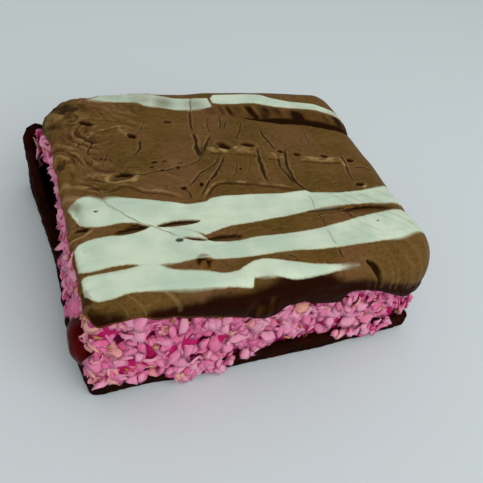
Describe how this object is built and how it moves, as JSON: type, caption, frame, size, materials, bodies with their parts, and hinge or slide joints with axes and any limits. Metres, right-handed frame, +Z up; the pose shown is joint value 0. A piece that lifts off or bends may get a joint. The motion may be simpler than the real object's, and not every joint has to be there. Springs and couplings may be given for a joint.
{
  "type": "coconut slice",
  "caption": "Cut piece of layered cherry coconut slice: chocolate base, pink shredded coconut filling and a striped chocolate topping that droops over its sides.",
  "frame": {"origin": "centre of the whole box, on the surface the slice rests on", "axes": "+Z up, the height; +X along the front cut, left to right, the longest side; +Y from the front cut to the back"},
  "size_m": [0.0746, 0.0624, 0.0267],
  "materials": {
    "dark_chocolate": "dark chocolate base, broken edge, dull",
    "pink_coconut": "moist pink shredded coconut, rough",
    "glace_cherry": "sugar-glazed cherry, wet gloss",
    "milk_chocolate": "set milk chocolate, satin, with cracks and pits",
    "white_chocolate": "set white chocolate, satin, slightly green ivory"
  },
  "bodies": {
    "root": {"chocolate_base": "dark_chocolate", "coconut_filling": "pink_coconut", "glace_cherry": "glace_cherry", "chocolate_topping": "milk_chocolate", "white_stripe_front": "white_chocolate", "white_stripe_middle": "white_chocolate", "white_stripe_rear": "white_chocolate", "white_stripe_back_left": "white_chocolate", "white_stripe_back_right": "white_chocolate"}
  },
  "joints": []
}
